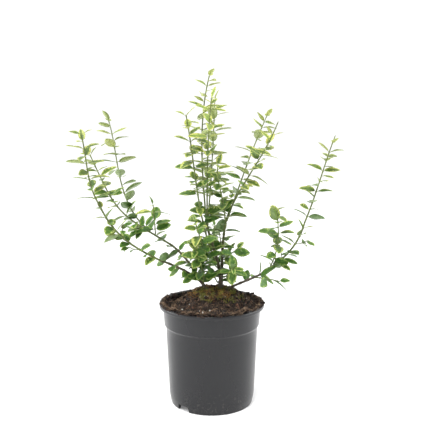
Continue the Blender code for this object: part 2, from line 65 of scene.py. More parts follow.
# Leafy shoots. Each grows on the stem named by on: past its tip where at is 1, or
# beside it at that share of its length. The pairs of leaves stand crosswise, the
# first ones at turn degrees from the plant's right.
shoots = {
    "left_arch_leaves": dict(
        on="left_low_stem", at=1, leave=(-36, -10, 21), arrive=(-15, -12, 39), tip=(-132, -35, 256),
        thick=2.6, thin=2.2, pairs=7, leaf=17, bare=7, turn=90, twigs=2, seed=11),
    "left_arch_tip": dict(
        on="left_arch_leaves", at=1, leave=(-13, -9, 27), arrive=(-5, -10, 28), tip=(-146, -62, 340),
        thick=2.1, thin=1.3, pairs=9, leaf=17, turn=0, twigs=0, seed=12),
    "left_middle_leaves": dict(
        on="left_high_stem", at=1, leave=(-66, 2, 40), arrive=(-32, 1, 73), tip=(-148, 12, 309),
        thick=2.5, thin=1.4, pairs=10, leaf=19, turn=90, twigs=1, seed=13),
    "left_upper_leaves": dict(
        on="left_middle_leaves", at=0.19, leave=(-47, 15, 33), arrive=(-20, 25, 45), tip=(-136, 80, 355),
        thick=2.0, thin=1.3, pairs=8, leaf=22, turn=0, bare=11, twigs=0, seed=14),
    "left_spur_leaves": dict(
        on="left_middle_leaves", at=0.14, leave=(0, -8, 13), arrive=(0, -8, 13), tip=(-70, -16, 252),
        thick=1.6, thin=1.2, pairs=4, leaf=19, turn=0, twigs=0, seed=15),
    "front_left_leaves": dict(
        on="main_stem", at=0.40, leave=(-23, -9, 55), arrive=(-10, -20, 58), tip=(-29, -46, 360),
        thick=2.3, thin=1.4, pairs=11, leaf=18, turn=0, twigs=1, seed=16),
    "tallest_leaves": dict(
        on="main_stem", at=1, leave=(-5, 7, 58), arrive=(14, 13, 56), tip=(-3, 42, 404),
        thick=2.2, thin=1.4, pairs=12, leaf=19, turn=0, twigs=1, seed=17),
    "front_top_leaves": dict(
        on="main_stem", at=0.97, leave=(0, -18, 53), arrive=(5, -34, 44), tip=(0, -80, 381),
        thick=2.0, thin=1.3, pairs=9, leaf=17, turn=90, twigs=0, seed=18),
    "back_top_leaves": dict(
        on="main_stem", at=0.95, leave=(5, 22, 51), arrive=(2, 31, 46), tip=(4, 95, 373),
        thick=2.0, thin=1.3, pairs=10, leaf=19, turn=0, twigs=0, seed=19),
    "centre_short_leaves": dict(
        on="right_stem", at=0.95, leave=(0, -19, 34), arrive=(2, -26, 28), tip=(7, -50, 304),
        thick=1.8, thin=1.3, pairs=6, leaf=18, turn=0, twigs=0, seed=20),
    "right_back_leaves": dict(
        on="right_stem", at=0.97, leave=(17, 14, 46), arrive=(20, 22, 40), tip=(72, 70, 357),
        thick=2.0, thin=1.3, pairs=8, leaf=19, turn=0, bare=6, twigs=1, seed=21),
    "right_front_leaves": dict(
        on="right_stem", at=1, leave=(16, -8, 44), arrive=(14, -14, 42), tip=(77, -25, 351),
        thick=2.1, thin=1.3, pairs=8, leaf=18, turn=90, bare=18, twigs=1, seed=22),
    "right_arch_leaves": dict(
        on="right_low_stem", at=1, leave=(24, 4, 16), arrive=(8, 4, 28), tip=(115, 17, 224),
        thick=2.6, thin=2.2, pairs=6, leaf=19, bare=7, turn=90, twigs=2, seed=23),
    "right_arch_tip": dict(
        on="right_arch_leaves", at=1, leave=(15, 6, 35), arrive=(14, 7, 35), tip=(153, 36, 330),
        thick=2.1, thin=1.3, pairs=8, leaf=17, turn=0, bare=10, twigs=0, seed=24),
    "right_spur_leaves": dict(
        on="right_arch_leaves", at=0.08, leave=(12, -9, 29), arrive=(-3, -13, 28), tip=(77, -28, 248),
        thick=1.7, thin=1.2, pairs=5, leaf=19, turn=0, twigs=0, seed=25),
    "low_left_leaves": dict(
        on="main_stem", at=0.10, leave=(-12, -3, 20), arrive=(-5, -18, 22), tip=(-19, -42, 236),
        thick=1.8, thin=1.3, pairs=8, leaf=18, turn=0, twigs=0, seed=26),
    "low_front_leaves": dict(
        on="left_low_stem", at=0.16, leave=(2, -10, 18), arrive=(-2, -14, 16), tip=(-20, -34, 205),
        thick=1.8, thin=1.3, pairs=7, leaf=18, turn=0, twigs=0, seed=27),
    "low_back_leaves": dict(
        on="right_stem", at=0.12, leave=(-6, 31, 15), arrive=(1, 30, 18), tip=(3, 108, 203),
        thick=1.9, thin=1.3, pairs=8, leaf=19, turn=0, twigs=1, seed=28),
    "low_right_leaves": dict(
        on="right_stem", at=0.16, leave=(12, -4, 9), arrive=(2, -16, 8), tip=(25, -32, 179),
        thick=1.6, thin=1.2, pairs=6, leaf=18, turn=0, twigs=0, seed=29),
    "right_twig_leaves": dict(
        on="right_stem", at=0.42, leave=(6, -5, 6), arrive=(5, -5, 5), tip=(31, -6, 196),
        thick=1.5, thin=1.1, pairs=3, leaf=18, turn=90, twigs=0, seed=30),
    "middle_twig_leaves": dict(
        on="right_stem", at=0.58, leave=(-2, 6, 7), arrive=(-2, 6, 7), tip=(8, 36, 216),
        thick=1.5, thin=1.1, pairs=3, leaf=18, turn=0, twigs=0, seed=31),
    "right_low_leaves": dict(
        on="right_low_stem", at=0.70, leave=(6, -9, 2), arrive=(10, -3, -2), tip=(82, -16, 158),
        thick=1.5, thin=1.1, pairs=4, leaf=18, turn=90, twigs=0, seed=32),
}


# Small helpers

def toMetres(values):
    return Vector(values) * mm


def addObject(name, data):
    added = bpy.data.objects.new(name, data)
    bpy.context.scene.collection.objects.link(added)
    return added


def addPiece(name, points, faces, materials, indices=None):
    mesh = bpy.data.meshes.new(name)
    mesh.from_pydata([tuple(p) for p in points], [], faces)
    for material in materials:
        mesh.materials.append(material)
    if indices:
        mesh.polygons.foreach_set("material_index", indices)
    mesh.shade_smooth()
    mesh.update()
    return addObject(name, mesh)


def plainMesh(name, shape):
    data = bpy.data.meshes.new(name)
    shape.to_mesh(data)
    shape.free()
    return data


def evaluatedMesh(carrier):
    graph = bpy.context.evaluated_depsgraph_get()
    return bpy.data.meshes.new_from_object(carrier.evaluated_get(graph))


def removeAll(*helpers):
    for helper in helpers:
        bpy.data.objects.remove(helper, do_unlink=True)


def finishPiece(piece, slotName, *nodes):
    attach(piece, "root")
    if nodes:
        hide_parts(*nodes)
    print("made", piece.name, len(piece.data.polygons), "faces")


def lumps(point, size, seed):
    return noise.noise(point / size + Vector((seed, seed * 1.7, -seed)))  # each seed reads it elsewhere


class Parts:
    # Points and faces of many small solids that end up in one piece.
    def __init__(self):
        self.points, self.faces, self.indices = [], [], []

    def add(self, points, faces, indices=()):
        first = len(self.points)
        self.points += points
        self.faces += [tuple(first + k for k in face) for face in faces]
        self.indices += indices

    def made(self, name, materials):
        return addPiece(name, self.points, self.faces, materials, self.indices)


# Finishes, all on Object coordinates

def plug(tree, socket, value):
    if isinstance(value, bpy.types.NodeSocket):
        tree.links.new(value, socket)
    else:
        socket.default_value = value


def addNode(tree, kind, inputs, dataType=None):
    node = tree.nodes.new(kind)
    if dataType:
        node.data_type = dataType
    for name, value in inputs.items():
        plug(tree, node.inputs[name], value)
    return node


def addGrain(tree, place, scale, detail=3.0):
    grain = addNode(tree, "ShaderNodeTexNoise", {"Vector": place, "Scale": scale, "Detail": detail})
    return grain.outputs["Fac"]


def addBlend(tree, share, low, high):
    low, high = [(*tone, 1.0) if isinstance(tone, tuple) else tone for tone in (low, high)]
    return addNode(tree, "ShaderNodeMix", {0: share, 6: low, 7: high}, "RGBA").outputs[2]


def addSpan(tree, value, low, high, start=0.0, end=1.0):
    ends = {"From Min": low, "From Max": high, "To Min": start, "To Max": end}
    return addNode(tree, "ShaderNodeMapRange", {"Value": value, **ends}).outputs["Result"]


def addAxis(tree, place, axis):
    return addNode(tree, "ShaderNodeSeparateXYZ", {"Vector": place}).outputs[axis]


def addBump(tree, shader, height, strength, distance):
    bump = addNode(tree, "ShaderNodeBump", {"Height": height, "Strength": strength, "Distance": distance})
    plug(tree, shader["Normal"], bump.outputs["Normal"])


def newFinish(name, roughness, shine=0.5):
    material = bpy.data.materials.new(name)
    material.use_nodes = True
    tree = material.node_tree
    shader = tree.nodes["Principled BSDF"].inputs
    shader["Roughness"].default_value = roughness
    shader["Specular IOR Level"].default_value = shine
    place = addNode(tree, "ShaderNodeTexCoord", {}).outputs["Object"]
    return material, tree, shader, place


mottle = dict(span=(0.32, 0.68), bump=0.5)


def mottled(name, low, high, roughness, scale, relief=0.0, shine=0.5):
    material, tree, shader, place = newFinish(name, roughness, shine)
    grain = addGrain(tree, place, scale)
    spread = addSpan(tree, grain, *mottle["span"])
    plug(tree, shader["Base Color"], addBlend(tree, spread, low, high))
    if relief:
        addBump(tree, shader, grain, mottle["bump"], relief)
    return material


potLook = dict(
    dark=(0.0086, 0.0088, 0.0106), worn=(0.0134, 0.0137, 0.0158), cloud=16.0, cloudSpan=(0.25, 0.8),
    dust=(0.06, 0.056, 0.05), dustTop=0.035, speck=260.0, speckDetail=6.0, speckSpan=(0.56, 0.74),
    roughness=0.27, shine=0.38, pores=900.0, poreDetail=2.0, poreBump=0.12, poreDepth=0.0002)


def makePotFinish():
    look = potLook
    material, tree, shader, place = newFinish("pot_plastic", look["roughness"], look["shine"])
    cloud = addSpan(tree, addGrain(tree, place, look["cloud"]), *look["cloudSpan"])
    plain = addBlend(tree, cloud, look["dark"], look["worn"])
    low = addSpan(tree, addAxis(tree, place, "Z"), look["dustTop"], 0.0)
    specks = addSpan(tree, addGrain(tree, place, look["speck"], look["speckDetail"]), *look["speckSpan"])
    dusty = addNode(tree, "ShaderNodeMath", {0: low, 1: specks})
    dusty.operation = "MULTIPLY"
    plug(tree, shader["Base Color"], addBlend(tree, dusty.outputs[0], plain, look["dust"]))
    pores = addGrain(tree, place, look["pores"], look["poreDetail"])
    addBump(tree, shader, pores, look["poreBump"], look["poreDepth"])
    return material


barkLook = dict(
    brown=(0.055, 0.042, 0.026), grey=(0.12, 0.102, 0.066), green=(0.115, 0.145, 0.04),
    greenSpan=(0.160, 0.235), roughness=0.72, grain=420.0, grainDetail=5.0, grainSpan=(0.35, 0.65),
    bump=0.6, depth=0.0004)


def makeBarkFinish():
    # Brown bark low down that turns green between the two heights of greenSpan.
    look = barkLook
    material, tree, shader, place = newFinish("stem_bark", look["roughness"])
    grain = addGrain(tree, place, look["grain"], look["grainDetail"])
    bark = addBlend(tree, addSpan(tree, grain, *look["grainSpan"]), look["brown"], look["grey"])
    rise = addSpan(tree, addAxis(tree, place, "Z"), *look["greenSpan"])
    plug(tree, shader["Base Color"], addBlend(tree, rise, bark, look["green"]))
    addBump(tree, shader, grain, look["bump"], look["depth"])
    return material


plainLooks = {
    "shoot": dict(name="green_shoot", low=(0.085, 0.115, 0.028), high=(0.17, 0.215, 0.055),
                  roughness=0.55, scale=300.0, relief=0.0002),
    "peat": dict(name="dark_peat", low=(0.004, 0.0028, 0.002), high=(0.030, 0.017, 0.011),
                 roughness=0.95, scale=200.0, relief=0.0012),
    "crumb": dict(name="peat_crumb", low=(0.005, 0.003, 0.002), high=(0.060, 0.026, 0.015),
                  roughness=0.95, scale=230.0, relief=0.0005),
    "chip": dict(name="bark_chip", low=(0.06, 0.026, 0.016), high=(0.20, 0.095, 0.055),
                 roughness=0.85, scale=400.0, relief=0.0003),
    "perlite": dict(name="white_grain", low=(0.62, 0.60, 0.54), high=(0.86, 0.85, 0.80),
                    roughness=0.8, scale=600.0, relief=0.0002),
    "fibre": dict(name="peat_fibre", low=(0.03, 0.016, 0.009), high=(0.36, 0.24, 0.15),
                  roughness=0.85, scale=160.0),
    "moss": dict(name="green_moss", low=(0.13, 0.16, 0.02), high=(0.36, 0.36, 0.06),
                 roughness=0.8, scale=500.0),
    "rust": dict(name="orange_moss", low=(0.25, 0.11, 0.02), high=(0.48, 0.27, 0.06),
                 roughness=0.8, scale=500.0),
}
finishes = {"pot": makePotFinish(), "bark": makeBarkFinish()}
finishes.update({kind: mottled(**look) for kind, look in plainLooks.items()})

# Each tone of leaf has the green of its middle, the cream of its margin and its paler back.
leafTones = {
    "old": dict(
        middle=((0.036, 0.108, 0.015), (0.085, 0.195, 0.028)),
        margin=((0.14, 0.25, 0.04), (0.28, 0.38, 0.09)),
        back=((0.10, 0.18, 0.06), (0.17, 0.26, 0.10))),
    "grown": dict(
        middle=((0.052, 0.125, 0.018), (0.11, 0.215, 0.034)),
        margin=((0.30, 0.40, 0.085), (0.47, 0.53, 0.17)),
        back=((0.20, 0.29, 0.11), (0.30, 0.38, 0.17))),
    "fresh": dict(
        middle=((0.075, 0.14, 0.024), (0.145, 0.22, 0.044)),
        margin=((0.40, 0.46, 0.10), (0.56, 0.58, 0.18)),
        back=((0.24, 0.31, 0.10), (0.36, 0.42, 0.16))),
    "lime": dict(
        middle=((0.14, 0.22, 0.03), (0.25, 0.34, 0.062)),
        margin=((0.50, 0.53, 0.10), (0.64, 0.64, 0.19)),
        back=((0.34, 0.40, 0.11), (0.46, 0.50, 0.18))),
}
leafParts = ("middle", "margin", "back")
leafSurface = dict(roughness=0.45, scale=330.0, relief=0.00015, shine=0.32)
leafFinishes = [mottled(f"leaf_{name}_{part}", *tone[part], **leafSurface)
                for name, tone in leafTones.items() for part in leafParts]
print("finishes ready")


# The pot: one turned wall with a rolled lip, a collar and two notches in its foot

pot = dict(
    height=127.5, lip=65.0, lipHeight=4.6, lipRound=1.0, lipFlat=0.4, lipTurn=0.6, lipDip=0.3,
    collarTop=60.6, collarFoot=59.0, collarLow=101.0, collarDraft=0.2, collarStraight=2.0,
    ledge=0.5, ledgeHalf=0.3, crease=0.25, creaseLow=1.4, creaseHigh=0.6, shoulder=0.2,
    bodyTop=57.0, bodyHigh=99.0, bodyFoot=53.0, bodyLow=12.0, bodyRows=8, tuck=0.9, tuckHeight=5.0,
    foot=50.7, wall=1.3, floor=8.0, footRing=4.2, pan=27.0, sides=144, sharp=32.0, weld=0.001,
    notchWidth=18.0, notchHeight=7.5, notchSlant=1.5, notchAngles=(227.0, 47.0))


def roundedCorner(radius, height, size, start, steps=4):
    turns = [math.radians(start + 90 * k / steps) for k in range(steps + 1)]
    return [(radius + size * math.cos(a), height + size * math.sin(a)) for a in turns]


def potInside():
    wall = pot["wall"]
    return [
        (pot["collarTop"] - wall, pot["height"] - pot["lipRound"]),
        (pot["collarFoot"] - wall, pot["collarLow"] + wall),
        (pot["bodyTop"] - wall, pot["bodyHigh"]),
        (pot["bodyFoot"] - wall, pot["bodyLow"] + wall),
        (pot["foot"] - wall, pot["floor"] + wall),
        (pot["pan"], pot["floor"] + wall),
        (pot["pan"] - wall, wall),
        (0, wall),
    ]


def potProfile():
    # Radius and height, from the middle of the underside up the outside and down the inside.
    wall, pan, size = pot["wall"], pot["pan"], pot["lipRound"]
    ring = pot["foot"] - pot["footRing"]
    outside = [(0, 0), (pan, 0), (pan + wall, pot["floor"]), (ring, pot["floor"]), (ring + wall, 0)]
    outside += roundedCorner(pot["foot"] - size, size, size, -90)
    foot, low, top, high = pot["bodyFoot"], pot["bodyLow"], pot["bodyTop"], pot["bodyHigh"]
    outside += [(foot - pot["tuck"], low - pot["tuckHeight"]), (foot, low)]
    for k in range(1, pot["bodyRows"]):
        share = k / pot["bodyRows"]
        outside.append((foot + (top - foot) * share, low + (high - low) * share))
    outside += [(top - pot["crease"], high - pot["creaseLow"]), (top, high - pot["creaseHigh"]),
                (top + pot["shoulder"], high)]
    foot, low, top = pot["collarFoot"], pot["collarLow"], pot["collarTop"]
    under = pot["height"] - pot["lipHeight"]
    outside += [(foot - pot["ledge"], low - pot["ledgeHalf"]), (foot, low + pot["ledgeHalf"]),
                (top - pot["collarDraft"], under - pot["collarStraight"]), (top, under)]
    outside += roundedCorner(pot["lip"] - size, under + size, size, -90)
    outside += roundedCorner(pot["lip"] - size, pot["height"] - size, size, 0)
    outside += [(top + pot["lipFlat"], pot["height"]),
                (top - pot["lipTurn"], pot["height"] - pot["lipDip"])]
    return [(radius * mm, height * mm) for radius, height in outside + potInside()]


def makeNotchCutter(angle):
    near, far = (pot["foot"] - 2 * pot["footRing"]) * mm, pot["lip"] * mm
    points = []
    for end in (-1, 1):
        height = end * pot["notchHeight"] * mm
        half = (pot["notchWidth"] / 2 - end * pot["notchSlant"]) * mm
        points += [(near, -half, height), (far, -half, height), (far, half, height), (near, half, height)]
    faces = [(3, 2, 1, 0), (4, 5, 6, 7)]
    faces += [(k, (k + 1) % 4, (k + 1) % 4 + 4, k + 4) for k in range(4)]
    turned = [Matrix.Rotation(math.radians(angle), 3, "Z") @ Vector(p) for p in points]
    return addPiece("notch_cutter", turned, faces, [])


def makePot():
    shape = bmesh.new()
    corners = [shape.verts.new((radius, 0, height)) for radius, height in potProfile()]
    edges = [shape.edges.new(pair) for pair in zip(corners, corners[1:])]
    bmesh.ops.spin(shape, geom=corners + edges, cent=(0, 0, 0), axis=(0, 0, 1), angle=math.tau,
                   steps=pot["sides"], use_merge=True)
    bmesh.ops.remove_doubles(shape, verts=shape.verts, dist=pot["weld"] * mm)
    bmesh.ops.recalc_face_normals(shape, faces=shape.faces)
    piece = addObject("nursery_pot", plainMesh("nursery_pot", shape))
    piece.data.materials.append(finishes["pot"])
    cutters = [makeNotchCutter(angle) for angle in pot["notchAngles"]]
    for cutter in cutters:
        cut = piece.modifiers.new("notch", "BOOLEAN")
        cut.operation = "DIFFERENCE"
        cut.object = cutter
    notched = evaluatedMesh(piece)
    piece.modifiers.clear()
    piece.data = notched
    removeAll(*cutters)
    notched.shade_smooth()
    notched.set_sharp_from_angle(angle=math.radians(pot["sharp"]))
    finishPiece(piece, "pot_plastic", "pot")


# The soil: a lumpy mound of peat, heaped up against the lip at the front

soil = dict(
    edge=123.6, tilt=1.6, moundTop=141.0, moundX=4.0, moundY=7.0, flat=19.0, reach=54.0,
    rings=84, sides=220, lower=0.5, clear=0.3, skirt=14.0, skirtShare=0.975,
    lumps=((2.6, 9.0, 1), (1.9, 4.2, 2), (1.0, 1.9, 3)),  # the height, size and seed of each kind
    frontRise=4.6, frontBegin=0.35, frontFrom=0.7, frontWidth=0.3, frontLeast=0.75, frontLump=14.0,
    frontSeed=4)


def wallRadius(height):
    (highRadius, high), (lowRadius, low) = potInside()[:2]
    return lowRadius + (highRadius - lowRadius) * (height - low) / (high - low)


def soilHeight(x, y):
    edge = soil["edge"] - soil["tilt"] * y / pot["lip"]
    away = math.hypot(x - soil["moundX"], y - soil["moundY"])
    share = min(max((away - soil["flat"]) / (soil["reach"] - soil["flat"]), 0), 1)
    fall = share * share * (3 - 2 * share)
    return soil["moundTop"] + (edge - soil["moundTop"]) * fall


def lumpySoil(x, y):
    point = Vector((x, y, 0))
    away = math.hypot(x, y) / wallRadius(soil["edge"])
    rough = sum(height * lumps(point, size, seed) for height, size, seed in soil["lumps"])
    front = max(0.0, soil["frontBegin"] - y / pot["lip"]) * soil["frontRise"]
    front = front * max(0.0, away - soil["frontFrom"]) / soil["frontWidth"]
    heap = front * (soil["frontLeast"] + lumps(point, soil["frontLump"], soil["frontSeed"]))
    return soilHeight(x, y) + rough + heap - soil["lower"]


def makeSoil():
    outer = wallRadius(soil["edge"]) - soil["clear"]
    rings, sides = soil["rings"], soil["sides"]
    points = [Vector((0, 0, lumpySoil(0, 0))) * mm]
    for ring in range(1, rings + 1):
        radius = outer * ring / rings
        for k in range(sides):
            turn = math.tau * k / sides
            x, y = radius * math.cos(turn), radius * math.sin(turn)
            points.append(Vector((x, y, lumpySoil(x, y))) * mm)
    skirt = [Vector((p.x, p.y, (soil["edge"] - soil["skirt"]) * mm)) for p in points[-sides:]]
    for p in skirt:
        p.xy *= soil["skirtShare"]
    points += skirt
    faces = [(0, 1 + k, 1 + (k + 1) % sides) for k in range(sides)]
    for ring in range(rings):
        low = 1 + ring * sides
        for k in range(sides):
            after = (k + 1) % sides
            faces.append((low + k, low + sides + k, low + sides + after, low + after))
    faces.append(tuple(reversed(range(len(points) - sides, len(points)))))
    piece = addPiece("peat_mound", points, faces, [finishes["peat"]])
    finishPiece(piece, "peat", "soil")
    return piece


lipHeap = dict(
    start=140.0, end=400.0, segments=170, inner=52.0, outer=64.4, rings=6, onSoil=0.7, slope=2.4,
    rise=1.6, riseLeast=0.6, riseLump=11.0, riseSeed=6, patch=6.0, patchSeed=8, bare=-0.10, barer=0.22)


def makeLipGround():
    # Where peat lies on the lip: round the front and both sides, with bare places.
    rings, segments = lipHeap["rings"], lipHeap["segments"]
    points, faces = [], []
    for k in range(segments + 1):
        turn = math.radians(lipHeap["start"] + (lipHeap["end"] - lipHeap["start"]) * k / segments)
        for ring in range(rings + 1):
            share = ring / rings
            radius = lipHeap["inner"] + (lipHeap["outer"] - lipHeap["inner"]) * share
            x, y = radius * math.cos(turn), radius * math.sin(turn)
            swell = lumps(Vector((x, y, 0)), lipHeap["riseLump"], lipHeap["riseSeed"])
            rise = lipHeap["rise"] * math.sin(math.pi * share) * (lipHeap["riseLeast"] + swell)
            onSoil = lumpySoil(x, y) if share < lipHeap["onSoil"] else 0
            height = max(onSoil, pot["height"] - lipHeap["slope"] * (1 - share) + rise)
            points.append(Vector((x, y, height)) * mm)
    row = rings + 1
    for k in range(segments):
        for ring in range(rings):
            low = k * row + ring
            x, y, _ = points[low] / mm
            least = lipHeap["bare"] + lipHeap["barer"] * ring / rings
            if lumps(Vector((x, y, 0)), lipHeap["patch"], lipHeap["patchSeed"]) > least:
                faces.append((low, low + 1, low + row + 1, low + row))
    return addPiece("lip_ground", points, faces, [])


# Crumbs, chips and grains strewn by Geometry Nodes over the mound and the lip.
# The density is their number to a square metre.

strewn = {
    "peat_crumbs": dict(density=190000, smallest=(0.35, 0.3, 0.3), largest=(1.5, 1.2, 1.0), seed=3,
                        finish="crumb", detail=1, roughly=0.5, on="mound"),
    "peat_clods": dict(density=30000, smallest=(1.2, 1.0, 0.8), largest=(3.6, 2.8, 2.0), seed=9,
                       finish="peat", detail=2, roughly=0.7, on="mound"),
    "bark_chips": dict(density=30000, smallest=(0.7, 0.3, 0.2), largest=(3.4, 1.3, 0.6), seed=4,
                       finish="chip", detail=1, roughly=0.4, on="mound"),
    "lip_crumbs": dict(density=420000, smallest=(0.4, 0.35, 0.3), largest=(1.7, 1.3, 1.0), seed=12,
                       finish="crumb", detail=1, roughly=0.5, on="lip"),
    "lip_clods": dict(density=90000, smallest=(0.8, 0.7, 0.6), largest=(2.6, 2.0, 1.5), seed=15,
                      finish="peat", detail=2, roughly=0.7, on="lip"),
    "white_grains": dict(density=2600, smallest=(0.5, 0.5, 0.4), largest=(1.5, 1.3, 1.0), seed=7,
                         finish="perlite", detail=2, roughly=0.4, on="mound"),
}
bitShape = dict(lump=0.8, steepest=0.2)


def buildScatterTree():
    tree = bpy.data.node_groups.new("strewn_bits", "GeometryNodeTree")
    face = tree.interface
    face.new_socket("Ground", in_out="INPUT", socket_type="NodeSocketGeometry")
    sockets = {}
    for name, kind in (("Density", "Float"), ("Smallest", "Vector"), ("Largest", "Vector"),
                       ("Seed", "Int"), ("Bit", "Object"), ("Finish", "Material")):
        sockets[name] = face.new_socket(name, in_out="INPUT", socket_type="NodeSocket" + kind).identifier
    face.new_socket("Bits", in_out="OUTPUT", socket_type="NodeSocketGeometry")
    start = addNode(tree, "NodeGroupInput", {}).outputs
    strew = addNode(tree, "GeometryNodeDistributePointsOnFaces",
                    {"Mesh": start["Ground"], "Density": start["Density"], "Seed": start["Seed"]})
    size = addNode(tree, "FunctionNodeRandomValue",
                   {0: start["Smallest"], 1: start["Largest"], "Seed": start["Seed"]}, "FLOAT_VECTOR")
    turn = addNode(tree, "FunctionNodeRandomValue",
                   {1: [math.tau] * 3, "Seed": start["Seed"]}, "FLOAT_VECTOR")
    bit = addNode(tree, "GeometryNodeObjectInfo", {"Object": start["Bit"]})
    laid = addNode(tree, "GeometryNodeInstanceOnPoints",
                   {"Points": strew.outputs["Points"], "Instance": bit.outputs["Geometry"],
                    "Scale": size.outputs[0], "Rotation": turn.outputs[0]})
    real = addNode(tree, "GeometryNodeRealizeInstances", {"Geometry": laid.outputs["Instances"]})
    covered = addNode(tree, "GeometryNodeSetMaterial",
                      {"Geometry": real.outputs["Geometry"], "Material": start["Finish"]})
    addNode(tree, "NodeGroupOutput", {"Bits": covered.outputs["Geometry"]})
    return tree, sockets


def makeBit(name, detail, roughly, seed):
    shape = bmesh.new()
    bmesh.ops.create_icosphere(shape, subdivisions=detail, radius=1.0)
    for corner in shape.verts:
        corner.co *= 1 + roughly * lumps(corner.co, bitShape["lump"], seed)
    return addObject(name, plainMesh(name, shape))


def strewGround(ground):
    # The ground without its steep skirt and its one-faced underside.
    shape = bmesh.new()
    shape.from_mesh(ground.data)
    low = [face for face in shape.faces
           if abs(face.normal.z) < bitShape["steepest"] or len(face.verts) > 4]
    bmesh.ops.delete(shape, geom=low, context="FACES")
    return plainMesh("strewn_ground", shape)


def strewBits(grounds):
    tree, sockets = buildScatterTree()
    for name, size in strewn.items():
        bit = makeBit(name + "_bit", size["detail"], size["roughly"], size["seed"])
        carrier = addObject(name + "_ground", strewGround(grounds[size["on"]]))
        strew = carrier.modifiers.new("strewn", "NODES")
        strew.node_group = tree
        strew[sockets["Density"]] = float(size["density"])
        strew[sockets["Smallest"]] = [v * mm for v in size["smallest"]]
        strew[sockets["Largest"]] = [v * mm for v in size["largest"]]
        strew[sockets["Seed"]] = size["seed"]
        strew[sockets["Bit"]] = bit
        strew[sockets["Finish"]] = finishes[size["finish"]]
        mesh = evaluatedMesh(carrier)
        removeAll(carrier, bit)
        mesh.name = name
        mesh.polygons.foreach_set("use_smooth", [size["detail"] > 1] * len(mesh.polygons))
        finishPiece(addObject(name, mesh), "peat")


# Fibres and moss: thin bent strands on the peat, some of them over the lip

strandShape = dict(sides=3, taper=0.75)
fibres = dict(
    count=1150, longest=19.0, shares=(0.25, 1.0), thickness=0.25, thicknesses=(0.6, 1.3), seed=21,
    joints=5, bend=1.4, lift=(0.3, 2.2), clear=0.3, reach=0.97,
    overLip=300, lipFrom=150.0, lipTo=390.0, lipReach=(0.93, 1.0), lipShares=(0.25, 0.55),
    lipSway=1.0, lipWidth=1.0, edge=0.2, hangOff=0.35, hangStep=1.6)
moss = dict(
    count=4200, tallest=7.0, shares=(0.3, 1.0), thickness=0.2, thicknesses=(0.6, 1.2), seed=22,
    reach=23.0, stretch=1.25, patch=7.0, bare=0.02, sunk=0.2, upward=(0.4, 1.6),
    bendAt=0.6, tipAt=0.9, droop=0.35, fall=-0.1)
mossKinds = {
    "green_moss": dict(finish="moss", share=0.55, x=8, y=-6, patchSeed=11),
    "rust_moss": dict(finish="rust", share=0.45, x=0, y=-3, patchSeed=13),
}


def strand(path, radius):
    sides, steps = strandShape["sides"], len(path) - 1
    points, faces = [], []
    for k, point in enumerate(path):
        ahead = path[min(k + 1, steps)] - path[max(k - 1, 0)]
        side = ahead.orthogonal().normalized()
        back = ahead.normalized().cross(side)
        size = radius * (1 - strandShape["taper"] * k / steps)
        turns = [math.tau * s / sides for s in range(sides)]
        points += [point + (side * math.cos(a) + back * math.sin(a)) * size for a in turns]
    for low in range(0, sides * steps, sides):
        for k in range(sides):
            after = (k + 1) % sides
            faces.append((low + k, low + after, low + sides + after, low + sides + k))
    faces.append(tuple(reversed(range(sides))))
    faces.append(tuple(range(sides * steps, sides * (steps + 1))))
    return points, faces


def fibrePath(draw, onLip):
    # A fibre lies on the peat in a bow. Where it passes the edge of the lip, it hangs down outside.
    inner, edge, joints = wallRadius(soil["edge"]), pot["lip"], fibres["joints"]
    if onLip:
        turn = draw.uniform(math.radians(fibres["lipFrom"]), math.radians(fibres["lipTo"]))
        away = inner * draw.uniform(*fibres["lipReach"])
        heading = turn + draw.uniform(-fibres["lipSway"], fibres["lipSway"])
        length = fibres["longest"] * draw.uniform(*fibres["lipShares"])
    else:
        turn = draw.uniform(0, math.tau)
        away = inner * (math.sqrt(draw.random()) * fibres["reach"])
        heading = draw.uniform(0, math.tau)
        length = fibres["longest"] * draw.uniform(*fibres["shares"])
    bend = draw.uniform(-fibres["bend"], fibres["bend"])
    x, y = away * math.cos(turn), away * math.sin(turn)
    lift = draw.uniform(*fibres["lift"])
    path = []
    for step in range(joints + 1):
        radius = math.hypot(x, y)
        ground = lumpySoil(x, y)
        if radius >= inner - fibres["lipWidth"]:
            ground = max(pot["height"], ground)
        if radius > edge - fibres["edge"]:
            outside = edge + fibres["hangOff"]
            x, y = x * outside / radius, y * outside / radius
            ground = path[-1].z / mm - fibres["hangStep"] if path else pot["height"]
            lift = 0.0
        height = ground + fibres["clear"] + lift * math.sin(math.pi * (step / joints))
        path.append(Vector((x, y, height)) * mm)
        heading += bend / joints
        x += math.cos(heading) * length / joints
        y += math.sin(heading) * length / joints
    return path


def makeFibres():
    draw = random.Random(fibres["seed"])
    laid = Parts()
    for k in range(fibres["count"]):
        path = fibrePath(draw, k < fibres["overLip"])
        laid.add(*strand(path, fibres["thickness"] * draw.uniform(*fibres["thicknesses"]) * mm))
    finishPiece(laid.made("peat_fibres", [finishes["fibre"]]), "peat")


